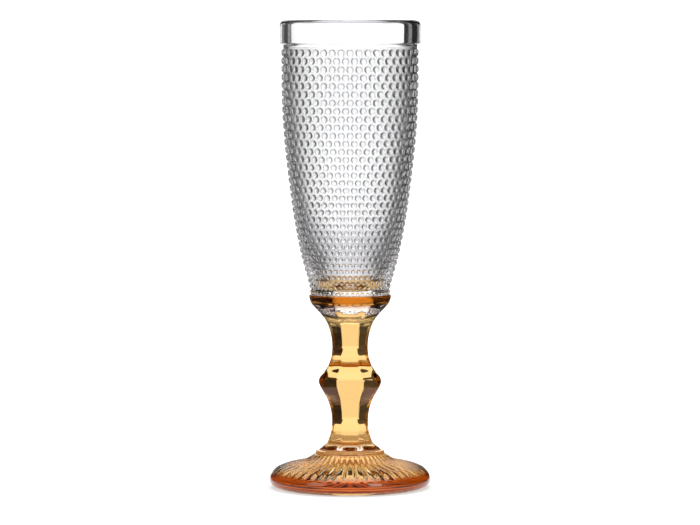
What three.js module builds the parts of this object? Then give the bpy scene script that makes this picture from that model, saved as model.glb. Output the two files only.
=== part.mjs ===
// A pressed-glass champagne flute in two colours: a clear beaded bowl on an amber stem and foot.
// Three pieces of glass are pressed and then fused face to face while hot, so nothing on it moves:
//   foot  a thick ribbed disc with a plain rounded edge and a raised round ring on top
//   stem  a turned shape with eight flat sides, a knop half way up, and a round cup on top
//   bowl  a thick tapering tumbler with a plain rim band
// +Z is up, the origin is the middle of the face it stands on, and sizes are in millimetres.
import * as THREE from "three";

// Heights of the three pieces, which stack up to the whole flute.
const FOOT_HEIGHT = 16.4;
const STEM_HEIGHT = 66.6;
const BOWL_HEIGHT = 117;

// Foot.
const FOOT_DIAMETER = 69;
const FOOT_EDGE_HEIGHT = 6.6; // the plain edge, from the table to where the ribs end
const FOOT_EDGE_WIDEST = 3.6; // height of the widest place on that edge
const FOOT_EDGE_INSET = 0.9; // how far inside the widest place the ribs end
const FOOT_SHOULDER_RISE = 2.6; // how far the foot rises just inside its edge
const REST_INSET = 5; // from the foot's widest place in to the flat ring that it stands on
const REST_WIDTH = 4; // width of that ring
const FOOT_HOLLOW = 1.2; // depth of the hollow inside it
const RIBS = 48;
const RIB_HEIGHT = 0.5;
const RING_DIAMETER = 29;
const RING_HEIGHT = 1.8;
const RING_DRAFT = 0.5; // the ring is this much smaller in radius at its top

// Stem. Widths are across the flats, and heights are above the foot.
const SIDES = 8;
const RING_LEDGE = 1.3; // how far the ring's top shows around the stem
const LOWER_WAIST_WIDTH = 15.5;
const LOWER_WAIST_HEIGHT = 11.7;
const KNOP_WIDTH = 26.8;
const KNOP_HEIGHT = 29.4;
const UPPER_WAIST_WIDTH = 15.2;
const UPPER_WAIST_HEIGHT = 44.6;
const CUP_DIAMETER = 35.4;
const CUP_DEPTH = 7.6; // from the bowl down to where the flat sides begin
const CUP_OVERHANG = 5; // how far the cup stands out from the neck where the flat sides begin

// Bowl. The beads stand on its wall, so the ledge and the step are measured between the beads.
const BEADS_AROUND = 48;
const BEAD_HEIGHT_TO_PITCH = 0.46;
const BEAD_LAYER_SHARE = 0.4; // the part of the beads' layer that is glass, spread evenly
const BAND_STEP = 1.7; // how far the rim band stands out from the wall under it
const WALL_FULL_HEIGHT = 84; // height above the stem to which the wall stands nearly upright
const CUP_LEDGE = 1.1; // how far the cup stands out from the wall that it carries
const BAND_DIAMETER = 60.2;
const BAND_HEIGHT = 10.2;
const BAND_UNDERCUT = 1.3; // height of the slope under the band
const LIP_THICKNESS = 3.5;
const LIP_OUTER_RADIUS = 2.3;
const LIP_INNER_RADIUS = 1;
const FLOOR_THICKNESS = 1.9; // glass under the deepest place inside
const CAVITY_FLOOR_DIAMETER = 23.2;

// How finely the curves are cut.
const AROUND = 48;
const RIB_STEPS = 2;
const ARC_STEPS = 4;

const clearGlass = new THREE.MeshStandardMaterial({
  color: 0xe9e9f0,
  roughness: 0.02,
  metalness: 0,
  transparent: true,
  opacity: 0.45,
});
const amberGlass = new THREE.MeshStandardMaterial({
  color: 0xd88a2a,
  roughness: 0.02,
  metalness: 0,
  transparent: true,
  opacity: 0.7,
});

// Points along a smooth curve through [radius, height] pairs.
function smooth(pairs, steps) {
  const points = pairs.map(([radius, height]) => new THREE.Vector2(radius, height));
  return new THREE.SplineCurve(points).getPoints(steps);
}

// Points along a quarter of an ellipse, from one angle to another.
function quarter(radius, height, wide, tall, from, to) {
  return new THREE.EllipseCurve(radius, height, wide, tall, from, to, from > to).getPoints(ARC_STEPS);
}

// Turns an outline of radius and height about +Z. The outline starts and ends on the axis.
function turned(outline, steps) {
  const points = outline.filter((p, i) => i === 0 || p.distanceTo(outline[i - 1]) > 1e-6);
  return new THREE.LatheGeometry(points, steps).rotateX(Math.PI / 2);
}

// Moves each point of a turned shape: change takes radius, angle from the front and height, and
// gives the new radius and height.
function reshaped(geometry, change) {
  const position = geometry.getAttribute("position");
  for (let i = 0; i < position.count; i++) {
    const [x, y, z] = [position.getX(i), position.getY(i), position.getZ(i)];
    const angle = Math.atan2(x, -y);
    const [radius, height] = change(Math.hypot(x, y), angle, z);
    position.setXYZ(i, radius * Math.sin(angle), -radius * Math.cos(angle), height);
  }
  return geometry;
}

// A point on a curve of rising heights, read as the radius at one height.
function radiusAt(line, height) {
  const i = Math.min(Math.max(line.findIndex((p) => p.y >= height), 1), line.length - 1);
  const [below, above] = [line[i - 1], line[i]];
  const share = (height - below.y) / (above.y - below.y);
  return THREE.MathUtils.lerp(below.x, above.x, THREE.MathUtils.clamp(share, 0, 1));
}

// ---- Foot: the outline of the top runs in from the edge to the ring, and the ribs stand on it.
function footTop() {
  const edge = FOOT_DIAMETER / 2 - FOOT_EDGE_INSET;
  const ringFoot = FOOT_HEIGHT - RING_HEIGHT;
  const ring = RING_DIAMETER / 2;
  const span = edge - ring;
  const shoulder = FOOT_EDGE_HEIGHT + FOOT_SHOULDER_RISE;
  const rise = ringFoot - shoulder;
  const line = [
    [edge, FOOT_EDGE_HEIGHT],
    [edge - span * 0.18, shoulder],
    [edge - span * 0.62, shoulder + rise * 0.38],
    [ring, ringFoot],
  ];
  return smooth(line, 9);
}

// How much of a rib's full height stands at this share of the way from the ring to the edge.
function ribFade(share) {
  const { smoothstep } = THREE.MathUtils;
  return smoothstep(share, 0, 0.12) * (1 - smoothstep(share, 0.9, 1));
}

function foot() {
  const widest = FOOT_DIAMETER / 2;
  const rest = widest - REST_INSET;
  const restInner = rest - REST_WIDTH;
  const ring = RING_DIAMETER / 2;
  const edge = widest - FOOT_EDGE_INSET;
  const upper = (FOOT_EDGE_HEIGHT - FOOT_EDGE_WIDEST) / 0.8;
  const outline = [
    new THREE.Vector2(0, FOOT_HOLLOW),
    new THREE.Vector2(restInner * 0.6, FOOT_HOLLOW * 0.8),
    new THREE.Vector2(restInner, 0),
    ...quarter(rest, FOOT_EDGE_WIDEST, widest - rest, FOOT_EDGE_WIDEST, -Math.PI / 2, 0),
    new THREE.Vector2(widest - FOOT_EDGE_INSET * 0.3, FOOT_EDGE_WIDEST + upper * 0.5),
    ...footTop(),
    new THREE.Vector2(ring - RING_DRAFT, FOOT_HEIGHT),
    new THREE.Vector2(0, FOOT_HEIGHT),
  ];
  const ribbed = (radius, angle, height) => {
    const onTop = height >= FOOT_EDGE_HEIGHT && height <= FOOT_HEIGHT - RING_HEIGHT;
    const crest = 0.5 + 0.5 * Math.cos(angle * RIBS);
    const share = (radius - ring) / (edge - ring);
    const lift = onTop ? RIB_HEIGHT * crest * ribFade(share) : 0;
    return [radius, height + lift];
  };
  return reshaped(turned(outline, RIBS * RIB_STEPS), ribbed);
}

// ---- Stem: eight flat sides cut into a round body, which shows only at the cup and the flare.
const flare = RING_DIAMETER / 2 - RING_DRAFT - RING_LEDGE;
const neck = CUP_DIAMETER / 2 - CUP_OVERHANG;
const neckHeight = STEM_HEIGHT - CUP_DEPTH;

function flatSideLine() {
  const knop = KNOP_WIDTH / 2;
  const lower = LOWER_WAIST_WIDTH / 2;
  const upper = UPPER_WAIST_WIDTH / 2;
  const knopSlope = (knop - upper) * 0.45;
  const belowNeck = neckHeight - UPPER_WAIST_HEIGHT;
  return smooth(
    [
      [flare, 0],
      [lower + (flare - lower) * 0.36, LOWER_WAIST_HEIGHT * 0.27],
      [lower, LOWER_WAIST_HEIGHT],
      [lower + 0.35, LOWER_WAIST_HEIGHT + 5],
      [lower + 1.95, LOWER_WAIST_HEIGHT + 10.2],
      [knop - 1, KNOP_HEIGHT - 2.6],
      [knop, KNOP_HEIGHT],
      [knop - 1, KNOP_HEIGHT + 2.4],
      [upper + knopSlope, KNOP_HEIGHT + 5],
      [upper + 0.55, KNOP_HEIGHT + 10],
      [upper, UPPER_WAIST_HEIGHT],
      [upper + 0.7, UPPER_WAIST_HEIGHT + belowNeck * 0.36],
      [upper + 2.4, UPPER_WAIST_HEIGHT + belowNeck * 0.74],
      [neck, neckHeight],
      [CUP_DIAMETER / 2 + 1, STEM_HEIGHT - CUP_DEPTH * 0.45],
      [CUP_DIAMETER / 2 + 3, STEM_HEIGHT],
    ],
    34,
  );
}

function roundBodyLine() {
  const cup = CUP_DIAMETER / 2;
  return smooth(
    [
      [flare + 0.3, 0],
      [flare, 1.6],
      [KNOP_WIDTH / 2 + 1.1, KNOP_HEIGHT - 6],
      [KNOP_WIDTH / 2 + 1.1, KNOP_HEIGHT],
      [KNOP_WIDTH / 2 + 1.1, KNOP_HEIGHT + 6],
      [neck - 0.2, neckHeight - 2],
      [neck + 0.6, neckHeight + 1],
      [cup - 1.4, STEM_HEIGHT - CUP_DEPTH * 0.5],
      [cup - 0.2, STEM_HEIGHT - CUP_DEPTH * 0.17],
      [cup, STEM_HEIGHT],
    ],
    36,
  );
}

function stem() {
  const sides = flatSideLine();
  const body = roundBodyLine();
  const top = FOOT_HEIGHT + STEM_HEIGHT;
  const heights = sides.map((p) => p.y).filter((h) => h > 0.5 && h < STEM_HEIGHT - 0.5);
  const outline = [
    new THREE.Vector2(0, FOOT_HEIGHT),
    ...[0, ...heights, STEM_HEIGHT].map((h) => new THREE.Vector2(radiusAt(body, h), FOOT_HEIGHT + h)),
    new THREE.Vector2(0, top),
  ];
  const side = (2 * Math.PI) / SIDES;
  const cut = (radius, angle, height) => {
    const fromFlat = angle - side * Math.round(angle / side);
    const flat = radiusAt(sides, height - FOOT_HEIGHT) / Math.cos(fromFlat);
    return [Math.min(radius, flat), height];
  };
  return reshaped(turned(outline, AROUND), cut);
}

// ---- Bowl: the wall between the beads, thickened by the beads' mean depth.
function wallLine() {
  const top = BAND_DIAMETER / 2 - BAND_STEP;
  const bottom = CUP_DIAMETER / 2 - CUP_LEDGE;
  const fall = top - bottom;
  const line = smooth(
    [
      [bottom, 0],
      [bottom + fall * 0.26, WALL_FULL_HEIGHT * 0.165],
      [bottom + fall * 0.65, WALL_FULL_HEIGHT * 0.47],
      [bottom + fall * 0.9, WALL_FULL_HEIGHT * 0.79],
      [top, WALL_FULL_HEIGHT],
      [top, BOWL_HEIGHT - BAND_HEIGHT - BAND_UNDERCUT],
    ],
    12,
  );
  const pitch = (2 * Math.PI) / BEADS_AROUND;
  const layer = 1 + pitch * BEAD_HEIGHT_TO_PITCH * BEAD_LAYER_SHARE;
  return line.map((p) => new THREE.Vector2(p.x * layer, p.y));
}

function cavityLine() {
  const lip = BAND_DIAMETER / 2 - LIP_THICKNESS;
  const floor = CAVITY_FLOOR_DIAMETER / 2;
  const fall = lip - floor;
  return smooth(
    [
      [lip, BOWL_HEIGHT - LIP_INNER_RADIUS],
      [lip - 0.3, BOWL_HEIGHT * 0.83],
      [lip - fall * 0.18, BOWL_HEIGHT * 0.53],
      [lip - fall * 0.44, BOWL_HEIGHT * 0.28],
      [lip - fall * 0.81, BOWL_HEIGHT * 0.11],
      [floor, FLOOR_THICKNESS + floor * 0.44],
      [floor * 0.74, FLOOR_THICKNESS + floor * 0.15],
      [floor * 0.43, FLOOR_THICKNESS + floor * 0.03],
      [0, FLOOR_THICKNESS],
    ],
    16,
  );
}

function bowl() {
  const bandBottom = BOWL_HEIGHT - BAND_HEIGHT;
  const band = BAND_DIAMETER / 2;
  const inner = band - LIP_THICKNESS;
  const lipOuter = quarter(
    band - LIP_OUTER_RADIUS,
    BOWL_HEIGHT - LIP_OUTER_RADIUS,
    LIP_OUTER_RADIUS,
    LIP_OUTER_RADIUS,
    0,
    Math.PI / 2,
  );
  const lipInner = quarter(
    inner + LIP_INNER_RADIUS,
    BOWL_HEIGHT - LIP_INNER_RADIUS,
    LIP_INNER_RADIUS,
    LIP_INNER_RADIUS,
    Math.PI / 2,
    Math.PI,
  );
  const outline = [
    new THREE.Vector2(0, 0),
    ...wallLine(),
    new THREE.Vector2(band, bandBottom),
    ...lipOuter,
    ...lipInner,
    ...cavityLine(),
  ];
  const lifted = outline.map((p) => new THREE.Vector2(p.x, p.y + FOOT_HEIGHT + STEM_HEIGHT));
  return turned(lifted, AROUND);
}

function piece(name, geometry, material) {
  const mesh = new THREE.Mesh(geometry, material);
  mesh.name = name;
  return mesh;
}

const flute = new THREE.Group();
flute.add(piece("foot", foot(), amberGlass));
flute.add(piece("stem", stem(), amberGlass));
flute.add(piece("bowl", bowl(), clearGlass));

export default flute;
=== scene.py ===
import math

import bmesh
import bpy
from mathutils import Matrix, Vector


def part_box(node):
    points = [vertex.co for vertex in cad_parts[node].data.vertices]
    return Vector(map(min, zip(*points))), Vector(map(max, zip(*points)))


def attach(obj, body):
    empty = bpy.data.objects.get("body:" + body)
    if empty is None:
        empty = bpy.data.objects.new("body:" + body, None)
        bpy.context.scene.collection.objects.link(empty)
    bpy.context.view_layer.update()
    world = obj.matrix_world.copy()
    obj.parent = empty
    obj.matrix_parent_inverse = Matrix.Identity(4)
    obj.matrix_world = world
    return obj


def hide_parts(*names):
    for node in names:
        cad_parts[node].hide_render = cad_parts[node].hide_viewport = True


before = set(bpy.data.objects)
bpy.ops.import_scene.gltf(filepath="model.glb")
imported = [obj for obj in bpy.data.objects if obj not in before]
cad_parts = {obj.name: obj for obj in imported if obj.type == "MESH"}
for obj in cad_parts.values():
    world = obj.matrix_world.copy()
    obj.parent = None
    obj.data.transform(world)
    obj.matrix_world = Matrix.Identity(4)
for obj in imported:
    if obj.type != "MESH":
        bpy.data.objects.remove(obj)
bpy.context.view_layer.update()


# ---- Foot ------------------------------------------------------------------------------------
# A thick disc of clear glass, stained amber on its top and edge and left clear underneath. It is
# pressed in one mould, with forty-eight rounded ribs on top and a raised ring in the middle. The
# edge is plain and fire-polished, and the underside is hollowed, so that it stands on a narrow ring.

MM = 0.001  # sizes are in millimetres up to the point where they enter a mesh
FOOT_TO_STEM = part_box("stem")[0].z / MM
STEM_TO_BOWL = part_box("bowl")[0].z / MM
STEM_FOOT_RADIUS = 13.2
RIBS = 48
RIB_HEIGHT = 0.85
RIB_STEPS = 8  # faces across one rib
RIB_ROUNDNESS = 0.6  # below 1, the crests are broad and the valleys narrow
RIBS_FROM = 15  # radius where the ribs start, at the ring
RIBS_TO = 33.9  # radius where they end, at the edge
RIBS_ABOVE = 6.0  # height of the edge, which stays plain
UNDERSIDE_BELOW = 1.6  # every face that looks down and is lower than this is the underside
SEAM_BEARING = 22.5  # degrees to the right of the front
SEAM_HALF_WIDTH = 0.4  # degrees
SEAM_HEIGHT = 0.12
FUSED_GAP = 0.01  # each fused face stops this far short of the plane that it shares

FOOT_STAIN = (0.8, 0.42, 0.12)
FOOT_SHEEN = (1, 0.85, 0.7)  # tints what the stained outside reflects
AMBER_WAVE = 0.012  # how uneven the fire polish leaves the skin
STAIN_ENTERING = 0.2  # powers of the stain: light gets the root of the first on its way in,
STAIN_LEAVING = 0.9  # and the second on its way out or when it is thrown back inside
SHADE_PAINTED_POWER = 3.5  # first power on the cup and the foot's rim, where shade is painted as a deeper stain
CUP_HEIGHTS = (0.0765, 0.0795)  # where the painted shade starts on the way up to the cup, in metres
RIM_RADII = (0.0315, 0.0338)  # and on the way out to the foot's rim
GLASS_TINT = (0.62, 0.62, 0.67, 1)


def curve(points, spacing):
    """Points about spacing apart on a smooth curve through (radius, height) pairs."""
    pairs = [Vector(p) for p in (points[0], *points, points[-1])]
    line = []
    for a, b, c, d in zip(pairs, pairs[1:], pairs[2:], pairs[3:]):
        count = max(1, round((c - b).length / spacing))
        for i in range(count):
            t = i / count
            bend = (2 * a - 5 * b + 4 * c - d) * t * t + (3 * b - a - 3 * c + d) * t ** 3
            line.append(b + ((c - a) * t + bend) / 2)
    return line + [pairs[-1]]


def arc(centre, radius, start, end, steps=6):
    """Points on an arc of a circle, or of an ellipse if radius is a pair, between two angles."""
    wide, tall = radius if isinstance(radius, tuple) else (radius, radius)
    angles = [math.radians(start + (end - start) * i / steps) for i in range(steps + 1)]
    return [Vector((centre[0] + wide * math.cos(a), centre[1] + tall * math.sin(a))) for a in angles]


def radius_at(line, height):
    """The radius of a line of rising points at one height."""
    if height <= line[0].y:
        return line[0].x
    for a, b in zip(line, line[1:]):
        if height <= b.y:
            return a.x + (b.x - a.x) * (height - a.y) / (b.y - a.y)
    return line[-1].x


def turned(outline, steps):
    """A closed shape from an outline that starts and ends on the axis, spun about it."""
    shape = bmesh.new()
    points = [shape.verts.new((0, -p.x * MM, p.y * MM)) for p in outline]
    line = [shape.edges.new(pair) for pair in zip(points, points[1:])]
    bmesh.ops.spin(
        shape,
        geom=points + line,
        axis=(0, 0, 1),
        cent=(0, 0, 0),
        angle=math.tau,
        steps=steps,
        use_merge=True,
    )
    bmesh.ops.remove_doubles(shape, verts=shape.verts, dist=0.002 * MM)
    bmesh.ops.recalc_face_normals(shape, faces=shape.faces)
    return shape


def fuse(shape, height, radius):
    """Gives the second material to the flat faces at one height and inside one radius."""
    for face in shape.faces:
        centre = face.calc_center_median()
        flat = abs(centre.z / MM - height) < 2 * FUSED_GAP
        if flat and math.hypot(centre.x, centre.y) < radius * MM:
            face.material_index = 1


def seam(shape, low, high):
    """Raises a fine line on both sides between two heights, where the halves of the mould meet."""
    for vert in shape.verts:
        angle = math.degrees(math.atan2(vert.co.x, -vert.co.y)) - SEAM_BEARING
        if low < vert.co.z / MM < high and abs((angle + 90) % 180 - 90) < SEAM_HALF_WIDTH:
            vert.co += Vector((vert.co.x, vert.co.y, 0)).normalized() * SEAM_HEIGHT * MM


class Shade:
    """A shader socket that Python's operators work on."""

    def __init__(self, tree, socket):
        self.tree = tree
        self.socket = socket

    def node(self, kind, settings=None, inputs=None, output=0):
        """Adds a node of any kind, with its settings and then its inputs, and wraps one output."""
        made = self.tree.nodes.new("ShaderNode" + kind)
        for name, value in (settings or {}).items():
            setattr(made, name, value)
        for name, value in (inputs or {}).items():
            if isinstance(value, Shade):
                self.tree.links.new(value.socket, made.inputs[name])
            else:
                made.inputs[name].default_value = value
        return Shade(self.tree, made.outputs[output] if made.outputs else None)

    def math(self, operation, *values):
        return self.node("Math", {"operation": operation}, dict(enumerate(values)))

    def __add__(self, other):
        return self.math("ADD", self, other)

    def __radd__(self, other):
        return self.math("ADD", other, self)

    def __sub__(self, other):
        return self.math("SUBTRACT", self, other)

    def __rsub__(self, other):
        return self.math("SUBTRACT", other, self)

    def __mul__(self, other):
        return self.math("MULTIPLY", self, other)

    def __rmul__(self, other):
        return self.math("MULTIPLY", other, self)

    def step(self, start, end):
        """0 below start and 1 above end, with a smooth rise between."""
        limits = {"Value": self, "From Min": start, "From Max": end}
        return self.node("MapRange", {"interpolation_type": "SMOOTHSTEP"}, limits)


def new_tree(owner):
    owner.use_nodes = True
    owner.node_tree.nodes.clear()
    return Shade(owner.node_tree, None)


def pressed_glass(name, wave, stain=(1, 1, 1), sheen=(1, 1, 1), matt=0.0):
    """Two materials: pressed glass with a slightly uneven skin that may be stained, and the same
    glass where it is fused to another piece and has no surface of its own."""
    made = []
    for fused in (False, True):
        material = bpy.data.materials.new(name + ("_fused" if fused else ""))
        shade = new_tree(material)
        if fused:
            surface = shade.node("BsdfTransparent")
        else:
            place = shade.node("TexCoord", output=3)
            slow = shade.node("TexNoise", None, {"Vector": place, "Scale": 90.0, "Detail": 2.0})
            fine = shade.node("TexNoise", None, {"Vector": place, "Scale": 900.0, "Detail": 1.0})
            skin = slow + fine * 0.08
            bump = shade.node("Bump", None, {"Height": skin, "Strength": 1.0, "Distance": wave * MM})
            rough = fine.step(0.55, 0.8) * 0.03 + matt
            # painted shade: the stain is made deeper on the cup and on the foot's rim
            at_cup = shade.node("SeparateXYZ", None, {0: place}, output=2).step(*CUP_HEIGHTS)
            level = shade.node("VectorMath", {"operation": "MULTIPLY"}, {0: place, 1: (1, 1, 0)})
            from_axis = shade.node("VectorMath", {"operation": "LENGTH"}, {0: level}, output=1)
            painted_shade_mask = at_cup + from_axis.step(*RIM_RADII)
            powers = (STAIN_ENTERING, SHADE_PAINTED_POWER, STAIN_LEAVING)
            thin, shaded_stain, out = ((*[c ** power for c in stain], 1) for power in powers)
            mixed = {0: painted_shade_mask, 6: thin, 7: shaded_stain}
            entered = {
                "Base Color": shade.node("Mix", {"data_type": "RGBA"}, mixed, output=2),
                "Transmission Weight": 1.0,
                "IOR": 1.5,
                "Specular Tint": (*sheen, 1),
                "Roughness": rough,
                "Normal": bump,
            }
            left = {"Color": out, "IOR": 1.5, "Roughness": rough, "Normal": bump}
            outside = shade.node("BsdfPrincipled", None, entered)
            inside = shade.node("BsdfGlass", None, left)
            leaving = shade.node("NewGeometry", output="Backfacing")
            surface = shade.node("MixShader", None, {0: leaving, 1: outside, 2: inside})
        body = shade.node("VolumeAbsorption", None, {"Color": GLASS_TINT, "Density": 3.0})
        shade.node("OutputMaterial", None, {"Surface": surface, "Volume": body})
        made.append(material)
    return made


def piece(name, shape, materials):
    """Makes a shape a named object that stands for its CAD node and moves with the flute."""
    mesh = bpy.data.meshes.new(name)
    for face in shape.faces:
        face.smooth = True
    shape.to_mesh(mesh)
    shape.free()
    for material in materials:
        mesh.materials.append(material)
    made = bpy.data.objects.new(name + "_glass", mesh)
    bpy.context.scene.collection.objects.link(made)
    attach(made, "root")
    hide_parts(name)
    return made


# the amber glass paints shade on the foot's rim as a deeper stain
foot_glass = pressed_glass("amber_glass", wave=AMBER_WAVE, stain=FOOT_STAIN, sheen=FOOT_SHEEN)
foot_glass.append(pressed_glass("clear_glass_underside", wave=AMBER_WAVE)[0])

foot_top = curve(
    [
        (33.5, 6.5),
        (32.4, 7.5),
        (30.2, 8.75),
        (26.5, 9.95),
        (20.3, 11.2),
        (17.8, 12.4),
        (16.0, 13.8),
    ],
    0.9,
)
foot_outline = [
    *curve([(0, 1.3), (12, 1.2), (22, 0.7), (25.6, 0.12), (26.4, 0)], 2),
    Vector((28.9, 0)),
    *arc((29.4, 3.7), (5.1, 3.7), -88, 0, 14),
    *curve([(34.5, 4.0), (34.25, 5.2), (33.8, 6.1)], 0.5),
    *foot_top,
    *curve([(15.3, 14.55), (14.85, 14.85), (14.7, 15.1)], 0.3),
    *arc((14.2, 15.6), (0.5, 0.5), -10, 80, 5),
    Vector((13.9, FOOT_TO_STEM - 0.12)),
    Vector((13.5, FOOT_TO_STEM - FUSED_GAP)),
    Vector((STEM_FOOT_RADIUS, FOOT_TO_STEM - FUSED_GAP)),
    Vector((0, FOOT_TO_STEM - FUSED_GAP)),
]
foot = turned(foot_outline, RIBS * RIB_STEPS)
for vert in foot.verts:
    radius = math.hypot(vert.co.x, vert.co.y) / MM
    height = vert.co.z / MM
    if height > RIBS_ABOVE and RIBS_FROM < radius < RIBS_TO:
        angle = math.atan2(vert.co.x, -vert.co.y)
        share = min(1, (radius - RIBS_FROM) / 2.5) * min(1, (RIBS_TO - radius) / 2.2)
        crest = abs(math.cos(angle * RIBS / 2)) ** RIB_ROUNDNESS
        vert.co.z += RIB_HEIGHT * (crest - 0.5) * share * MM
seam(foot, 1, FOOT_TO_STEM - 0.3)
fuse(foot, FOOT_TO_STEM, STEM_FOOT_RADIUS)
for face in foot.faces:
    if face.normal.z < -0.6 and face.calc_center_median().z < UNDERSIDE_BELOW * MM:
        face.material_index = 2
piece("foot", foot, foot_glass)


# ---- Stem ------------------------------------------------------------------------------------
# Pressed glass, stained amber all over, with eight flat sides, a waist above and below a knop, and a
# round cup at the top that carries the bowl. The fire polish has softened the corners between the
# flats, and shade is painted on the cup as a deeper stain.

SIDES = 8
SIDE_STEPS = 24  # faces across one side
STEM_STEP = 0.6  # height of one face
CORNER_SOFTNESS = 0.35
BODY_SOFTNESS = 0.12  # where a flat side runs out into the round body
FLATS_TO = 80  # height where the flat sides have run out into the cup
CUP_EDGE = 81.8  # height where the cup's rounded edge starts
BOWL_FOOT_RADIUS = 16.4
STEM_STAIN = (0.79, 0.5, 0.19)
STEM_SHEEN = (0.9, 0.12, 0.02)
flats = curve(
    [
        (13.7, 16.3),
        (12.1, 17.5),
        (10.7, 18.5),
        (9.6, 19.7),
        (9.0, 21.4),
        (8.4, 22.9),
        (7.9, 25.4),
        (7.7, 28.6),
        (7.9, 31.8),
        (8.35, 34.3),
        (9.15, 36.9),
        (10.3, 39.4),
        (11.75, 42.0),
        (12.9, 44.3),
        (13.35, 45.8),
        (13.15, 47.1),
        (12.35, 48.4),
        (11.05, 49.8),
        (9.5, 52.2),
        (8.45, 54.7),
        (7.85, 57.2),
        (7.6, 60.4),
        (7.8, 63.6),
        (8.2, 66.1),
        (8.9, 68.7),
        (9.9, 71.2),
        (11.4, 73.6),
        (13.4, 75.8),
        (16.5, 78.0),
        (20.0, 80.0),
    ],
    STEM_STEP,
)
round_body = curve(
    [
        (STEM_FOOT_RADIUS, FOOT_TO_STEM),
        (12.7, 17.0),
        (11.6, 18.2),
        (11.2, 19.4),
        (11.6, 22),
        (14.3, 38),
        (14.5, 46),
        (13.4, 54),
        (11.5, 66),
        (11.6, 71),
        (12.6, 74),
        (14.3, 76.4),
        (16.0, 78.3),
        (17.1, 80.0),
        (17.6, CUP_EDGE),
    ],
    STEM_STEP,
)


def softened(a, b, softness):
    """The smaller of two sizes, with the change from one to the other rounded over."""
    mix = min(1, max(0, 0.5 + (b - a) / (2 * softness)))
    return b + (a - b) * mix - softness * mix * (1 - mix)


steps_up = int((CUP_EDGE - FOOT_TO_STEM) / STEM_STEP)
heights = [FOOT_TO_STEM + STEM_STEP * i for i in range(1, steps_up)]
stem_outline = [
    Vector((0, FOOT_TO_STEM + FUSED_GAP)),
    Vector((STEM_FOOT_RADIUS, FOOT_TO_STEM + FUSED_GAP)),
    *[Vector((radius_at(round_body, z), z)) for z in heights],
    *arc((16.9, 82.1), (0.72, 0.9), 0, 88, 6),
    Vector((16.45, STEM_TO_BOWL - FUSED_GAP)),
    Vector((0, STEM_TO_BOWL - FUSED_GAP)),
]
stem = turned(stem_outline, SIDES * SIDE_STEPS)
side = math.tau / SIDES
for vert in stem.verts:
    radius = math.hypot(vert.co.x, vert.co.y)
    height = vert.co.z / MM
    if radius > 0 and FOOT_TO_STEM + 0.1 < height < FLATS_TO:
        angle = math.atan2(vert.co.x, -vert.co.y)
        flat = radius_at(flats, height) * MM
        turns = [angle - side * (round(angle / side) + k) for k in (-1, 0, 1)]
        nearest, second = sorted(flat / max(0.05, math.cos(turn)) for turn in turns)[:2]
        cut = softened(nearest, second, CORNER_SOFTNESS * MM * 2)
        scale = softened(radius, cut, BODY_SOFTNESS * MM) / radius
        vert.co.x *= scale
        vert.co.y *= scale
seam(stem, FOOT_TO_STEM + 0.3, STEM_TO_BOWL - 0.3)
fuse(stem, FOOT_TO_STEM, STEM_FOOT_RADIUS)
fuse(stem, STEM_TO_BOWL, BOWL_FOOT_RADIUS)
stem_glass = pressed_glass("amber_glass_stem", wave=AMBER_WAVE, stain=STEM_STAIN, sheen=STEM_SHEEN)
piece("stem", stem, stem_glass)


# ---- Bowl ------------------------------------------------------------------------------------
# Thick clear glass, pressed between a beaded mould and a smooth plunger, which leaves the inside a
# little matt. Thirty-four staggered rows of forty-eight round beads cover the outside up to a plain
# band at the rim.

BEADS_AROUND = 48
BEAD_ROWS = 34
TOP_ROW = 186.1
BELOW_LAST_ROW = 1.6  # how far the wall under the last row reaches down
WALL_TOP = 187.9
WALL_MIDDLE = 150  # a height between the wall's two open ends
BEAD_RADIUS = 0.395  # shares of the pitch from bead to bead
BEAD_HEIGHT = 0.17
BEAD_PROFILE = [(1, 0), (0.92, 0.45), (0.8, 0.72), (0.5, 0.92), (0.005, 1)]  # shares of both
LIP = 26.6  # radius inside the lip
PLUNGER_TOP = 188  # the inside is matt below this height and polished above it
THINNEST_WALL = 1.5  # every face this far inside the wall is on the plunger's side
CLEAR_WAVE = 0.006
PLUNGER_MATT = 0.17
wall = curve(
    [
        (16.6, STEM_TO_BOWL),
        (17.35, 88),
        (20.35, 99),
        (23.1, 113),
        (25.0, 126),
        (26.85, 142),
        (28.0, 155),
        (28.6, 170),
        (28.63, 188),
    ],
    1,
)


def edges_within(grown, added):
    """The edges among what was grown that run between two of the vertices that it added."""
    edges = [g for g in grown if isinstance(g, bmesh.types.BMEdge)]
    return [edge for edge in edges if set(edge.verts) <= set(added)]


def bead_on_wall():
    """One bead, in shares of its pitch, on a six-sided piece of wall of unit radius."""
    cell = bmesh.new()
    bmesh.ops.create_circle(cell, segments=6, radius=1)
    bmesh.ops.subdivide_edges(cell, edges=cell.edges, cuts=1)
    ring = list(cell.edges)
    for width, out in BEAD_PROFILE:
        grown = bmesh.ops.extrude_edge_only(cell, edges=ring)["geom"]
        added = [g for g in grown if isinstance(g, bmesh.types.BMVert)]
        ring = edges_within(grown, added)
        for vert in added:
            direction = Vector(vert.co.xy).normalized() * width * BEAD_RADIUS
            vert.co = (direction.x, direction.y, out * BEAD_HEIGHT)
        for edge in ring:
            edge.smooth = width < 1
    bmesh.ops.pointmerge(cell, verts=added, merge_co=(0, 0, BEAD_HEIGHT))
    return cell


def row_gap(radius):
    """How far apart two rows of beads are on a wall of this radius."""
    return 0.62 + 0.1 * radius


rows = [TOP_ROW]
while len(rows) < BEAD_ROWS:
    rows.append(rows[-1] - row_gap(radius_at(wall, rows[-1])))

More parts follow.
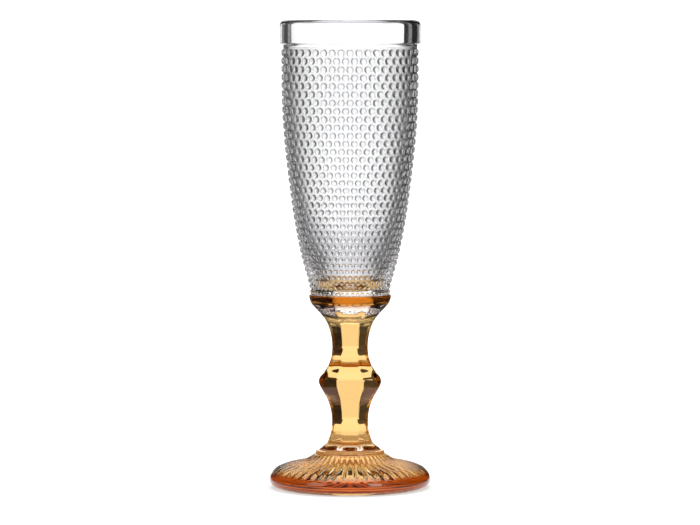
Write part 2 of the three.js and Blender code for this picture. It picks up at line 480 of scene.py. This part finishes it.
cell = bead_on_wall()
sample = bpy.data.meshes.new("bead")
cell.to_mesh(sample)
cell.free()
bowl = bmesh.new()
pitch_angle = math.tau / BEADS_AROUND
for number, row in enumerate(rows):
    above = row_gap(radius_at(wall, row)) if number == 0 else rows[number - 1] - row
    below = BELOW_LAST_ROW if number == BEAD_ROWS - 1 else row - rows[number + 1]
    pitch = radius_at(wall, row) * pitch_angle
    turn = pitch_angle / 2 * (number % 2)
    ring = bmesh.new()
    ring.from_mesh(sample)
    for vert in ring.verts:
        x, y, out = vert.co
        if vert.is_boundary:
            # the six-sided edge stretches to meet the cells beside, above and below it
            x *= 1 / math.sqrt(3)
            y *= 2 / 3 * (above if y > 0 else below)
        else:
            y *= pitch
            out *= pitch
        angle = x * pitch_angle + turn
        radius = radius_at(wall, row + y) + out
        vert.co = (radius * math.sin(angle) * MM, -radius * math.cos(angle) * MM, (row + y) * MM)
    bmesh.ops.spin(
        ring,
        geom=ring.verts[:] + ring.edges[:] + ring.faces[:],
        axis=(0, 0, 1),
        cent=(0, 0, 0),
        angle=math.tau - pitch_angle,
        steps=BEADS_AROUND - 1,
        use_duplicate=True,
    )
    strip = bpy.data.meshes.new("row")
    ring.to_mesh(strip)
    ring.free()
    bowl.from_mesh(strip)
    bpy.data.meshes.remove(strip)
bpy.data.meshes.remove(sample)
bmesh.ops.remove_doubles(bowl, verts=bowl.verts, dist=0.02 * MM)


def grow(shape, edges, outline):
    """Extrudes a ring of edges along an outline that ends at the axis, and closes it there."""
    for point in outline:
        grown = bmesh.ops.extrude_edge_only(shape, edges=edges)["geom"]
        added = [g for g in grown if isinstance(g, bmesh.types.BMVert)]
        edges = edges_within(grown, added)
        for vert in added:
            direction = Vector(vert.co.xy).normalized() * point.x * MM
            vert.co = (direction.x, direction.y, point.y * MM)
    bmesh.ops.pointmerge(shape, verts=added, merge_co=(0, 0, outline[-1].y * MM))


open_edges = [e for e in bowl.edges if e.is_boundary]
upper = [e for e in open_edges if e.verts[0].co.z > WALL_MIDDLE * MM]
lower = [e for e in open_edges if e.verts[0].co.z < WALL_MIDDLE * MM]
for vert in {v for e in upper for v in e.verts}:
    vert.co.z = WALL_TOP * MM
for vert in {v for e in lower for v in e.verts}:
    vert.co.z = (STEM_TO_BOWL + FUSED_GAP) * MM
rim_and_inside = [
    Vector((28.63, 188.4)),
    *curve([(28.7, 188.9), (29.05, 189.45), (29.6, 189.85)], 0.35),
    *arc((29.6, 190.35), 0.5, -70, 0, 4),
    Vector((30.1, 192)),
    Vector((30.1, 194.5)),
    *arc((27.8, 197.7), 2.3, 0, 85, 9),
    *arc((27.6, 199.0), 1.0, 95, 180, 6),
    *curve(
        [
            (LIP, 198),
            (26.3, 180),
            (25.3, 162),
            (23.9, 145),
            (22.2, 130),
            (20.0, 116),
            (17.2, 104),
            (14.4, 96),
            (11.6, 90),
            (8.6, 86.6),
            (5.0, 85.2),
            (0.1, 84.9),
        ],
        5,
    ),
]
grow(bowl, upper, rim_and_inside)
grow(bowl, lower, [Vector((r, STEM_TO_BOWL + FUSED_GAP)) for r in (8, 0.1)])
bmesh.ops.recalc_face_normals(bowl, faces=bowl.faces)
fuse(bowl, STEM_TO_BOWL, BOWL_FOOT_RADIUS)
for face in bowl.faces:
    centre = face.calc_center_median() / MM
    inside = math.hypot(centre.x, centre.y) < radius_at(wall, centre.z) - THINNEST_WALL
    if inside and STEM_TO_BOWL + 1 < centre.z < PLUNGER_TOP:
        face.material_index = 2
bowl_glass = pressed_glass("clear_glass", wave=CLEAR_WAVE)
bowl_glass.append(pressed_glass("clear_glass_plunger_side", wave=CLEAR_WAVE, matt=PLUNGER_MATT)[0])
piece("bowl", bowl, bowl_glass)


# ---- Floor and light -------------------------------------------------------------------------
# A pale table that glows a little, with a painted shadow around the flute, in a white studio: a
# bright panel stands behind the flute, a soft one hangs overhead, and two lamps stand in front.
# Dark boards and flat dark cloths beside the flute, which the camera doesn't see, darken the
# edges of the glass.

TABLE_HALF = (0.5, 0.9, 1)  # half the table's size, in metres from here on
TABLE_DROP = 0.05 * MM
TABLE_COLOUR = (0.48, 0.475, 0.49, 1)
BOARD_HEIGHT = 0.34
BOARD_BACK = 0.3  # how far behind the flute a board starts
BOARD_SIDE = 0.24  # how far beside the flute it ends
CLOTH_HALF = (0.2, 0.45, 1)
CLOTH_SIDE = 0.265  # from the flute to the middle of a cloth
BOARDS = (  # name, side, tone, and how far from the middle it starts
    ("board_right", 1, 0.02, 0.086),
    ("board_left", -1, 0.06, 0.127),
)


def studio_piece(name, mesh_name, shape, shader):
    """Makes a shape a named object of the studio, with a shader on it."""
    mesh = bpy.data.meshes.new(mesh_name)
    shape.to_mesh(mesh)
    shape.free()
    made = bpy.data.objects.new(name, mesh)
    bpy.context.scene.collection.objects.link(made)
    material = bpy.data.materials.new(name)
    shade = new_tree(material)
    shade.node("OutputMaterial", None, {"Surface": shader(shade)})
    mesh.materials.append(material)
    return made


def glow_with_painted_shadow(shade):
    """A pale surface that glows, with a painted shadow where it glows less near the flute."""
    place = shade.node("TexCoord", output=3)
    away = shade.node("VectorMath", {"operation": "LENGTH"}, {0: place}, output=1)
    look = {
        "Base Color": TABLE_COLOUR,
        "Roughness": 0.9,
        "Specular IOR Level": 0.0,
        # painted shadow: the glow drops to 0.55 of its strength within a few centimetres of the
        # flute
        "Emission Color": away.step(0.03, 0.07) * 0.45 + 0.55,
        "Emission Strength": 0.9,
    }
    return shade.node("BsdfPrincipled", None, look)


table = bmesh.new()
bmesh.ops.create_grid(table, x_segments=1, y_segments=1, size=1)
bmesh.ops.scale(table, verts=table.verts, vec=TABLE_HALF)
bmesh.ops.translate(table, verts=table.verts, vec=(0, 0, -TABLE_DROP))
studio_piece("table", "table", table, glow_with_painted_shadow)

for name, side, tone, across in BOARDS:
    board = bmesh.new()
    behind = board.verts.new((side * across, BOARD_BACK, 0))
    beside = board.verts.new((side * BOARD_SIDE, 0.0, 0))
    bottom = board.edges.new((behind, beside))
    grown = bmesh.ops.extrude_edge_only(board, edges=[bottom])["geom"]
    top = [g for g in grown if isinstance(g, bmesh.types.BMVert)]
    bmesh.ops.translate(board, verts=top, vec=(0, 0, BOARD_HEIGHT))
    cloth = bmesh.ops.create_grid(board, x_segments=1, y_segments=1, size=1)["verts"]
    bmesh.ops.scale(board, verts=cloth, vec=CLOTH_HALF)
    bmesh.ops.translate(board, verts=cloth, vec=(side * CLOTH_SIDE, 0, 0))
    dark = {"Color": (tone, tone, tone, 1)}
    made = studio_piece(name, "board", board, lambda shade: shade.node("BsdfDiffuse", None, dark))
    made.visible_camera = made.visible_diffuse = made.visible_shadow = False

world = bpy.data.worlds.new("studio")
bpy.context.scene.world = world
shade = new_tree(world)
direction = shade.node("TexCoord")
x, y, z = (shade.node("SeparateXYZ", None, {0: direction}, output=i) for i in range(3))
bearing = shade.math("ARCTAN2", x, y) * (180 / math.pi)  # degrees from straight behind the flute
height = shade.math("ARCSINE", z) * (180 / math.pi)


def panel(middle, half, low, high, soft=3):
    """1 inside a patch of the studio, by its bearing and its height in degrees."""
    aside = shade.math("ABSOLUTE", bearing - middle)
    across = 1 - aside.step(half - soft, half + soft)
    return across * height.step(low - soft, low + soft) * (1 - height.step(high - soft, high + soft))


back_panel = panel(-3.5, 19.5, -95, 38, soft=5)
overhead = height.step(54, 62)
right_lamp = panel(140, 11, 8, 40)
left_lamp = panel(-128, 14, 10, 40)
aside = shade.math("ABSOLUTE", bearing)
room = aside.step(14, 22) * 0.2 + aside.step(105, 125) * 0.5
light = back_panel * 1.35 + overhead * 3.2 + right_lamp * 5.0 + left_lamp * 2.5 + room
camera_ray = shade.node("LightPath")
brightness = shade.math("MAXIMUM", light, camera_ray)  # the camera sees plain white behind it all
lit = shade.node("Background", None, {"Color": (1, 1, 1, 1), "Strength": brightness})
shade.node("OutputWorld", None, {"Surface": lit})


# ---- Camera ----------------------------------------------------------------------------------
# A long lens level with the rim, far enough away to take in the whole flute and aimed a little below
# its middle. Light may cross many faces of glass before it is given up.

camera = bpy.data.objects.new("camera", bpy.data.cameras.new("camera"))
bpy.context.scene.collection.objects.link(camera)
bpy.context.scene.camera = camera
camera.data.lens = 187
camera.data.clip_end = 20
camera.location = (0, -1.55, 0.2)
aim = Vector((0, 0, 0.0965)) - camera.location
camera.rotation_euler = aim.to_track_quat("-Z", "Y").to_euler()

scene = bpy.context.scene
scene.view_settings.view_transform = "Standard"
scene.cycles.max_bounces = 32
scene.cycles.transmission_bounces = 32
scene.cycles.transparent_max_bounces = 32
